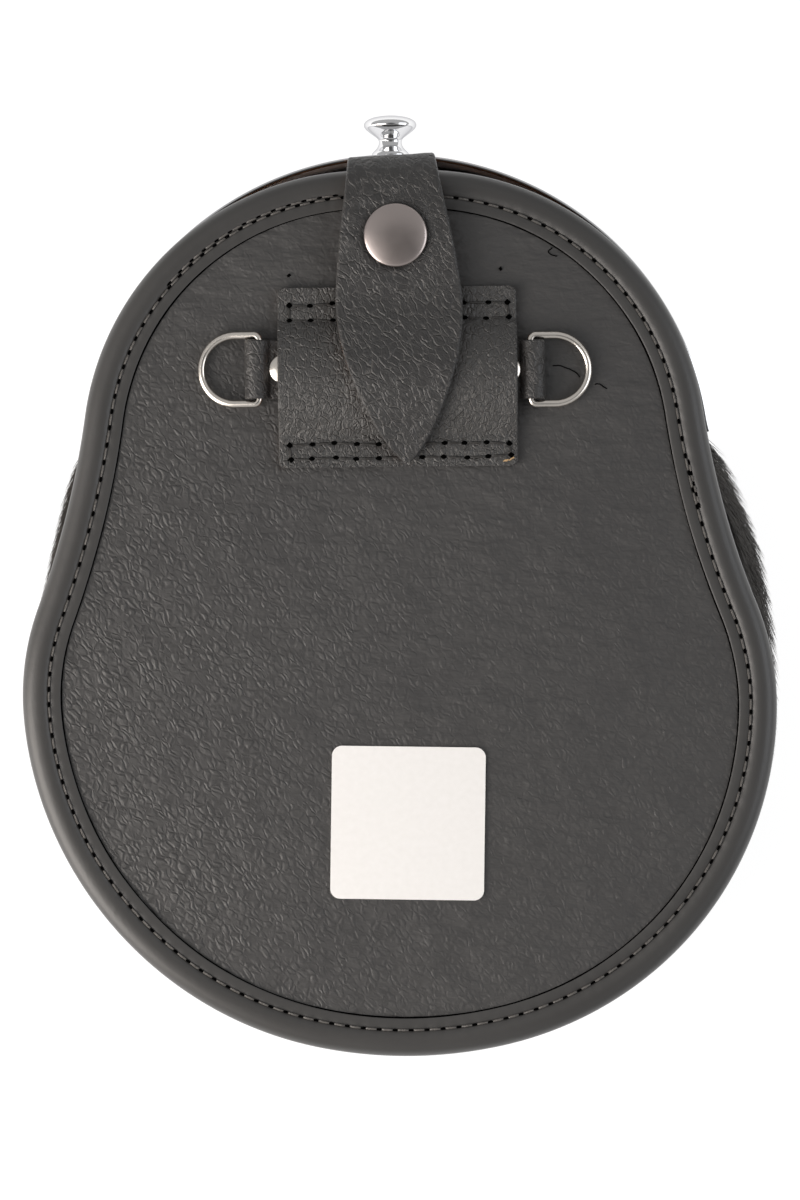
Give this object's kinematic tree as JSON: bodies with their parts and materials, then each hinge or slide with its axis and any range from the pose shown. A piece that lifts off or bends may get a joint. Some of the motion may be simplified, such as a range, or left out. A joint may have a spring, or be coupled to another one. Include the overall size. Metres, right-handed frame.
{
  "type": "sporran pouch",
  "caption": "Pear-shaped sporran pouch with leather back, fur front, arched metal cantle with knob, snap-down closing strap, belt loop and hinged wire D-rings.",
  "frame": {"origin": "on the surface that the pouch lies on, under the middle of its back", "axes": "+X to the right seen from behind, +Y towards the knob, +Z out of the leather back"},
  "size_m": [0.1799, 0.2257, 0.0489],
  "materials": {
    "panel_leather": "pebble-grained, semi-matt",
    "binding_leather": "smooth, satin",
    "gusset_leather": "smooth, semi-matt",
    "strap_leather": "smooth, creased, satin",
    "loop_leather": "smooth, finely wrinkled, satin",
    "tab_leather": "smooth, satin",
    "fur": "short glossy pile",
    "chrome": "polished plate",
    "nickel": "nickel plate, lightly worn",
    "gunmetal": "dark plated, satin",
    "sticker": "smooth coated, blank"
  },
  "bodies": {
    "pouch": {"back_panel": "panel_leather", "edge_binding": "binding_leather", "gusset": "gusset_leather", "fur_front": "fur", "cantle": "chrome", "cantle_knob": "chrome", "closing_strap": "strap_leather", "snap_cap": "gunmetal", "snap_stud": "gunmetal", "belt_loop": "loop_leather", "ring_tab_left": "tab_leather", "ring_tab_right": "tab_leather", "rivet_left": "nickel", "rivet_right": "nickel", "label": "sticker"},
    "left_ring": {"dee_ring_left": "nickel"},
    "right_ring": {"dee_ring_right": "nickel"}
  },
  "joints": [
    {"name": "left_ring_swing", "type": "hinge", "parent": "pouch", "child": "left_ring", "pos_m": [-0.0331, 0.0583, 0.0428], "axis": [0, 1, 0], "range_deg": [0, 120]},
    {"name": "right_ring_swing", "type": "hinge", "parent": "pouch", "child": "right_ring", "pos_m": [0.0315, 0.0576, 0.0428], "axis": [0, -1, 0], "range_deg": [0, 120]}
  ]
}
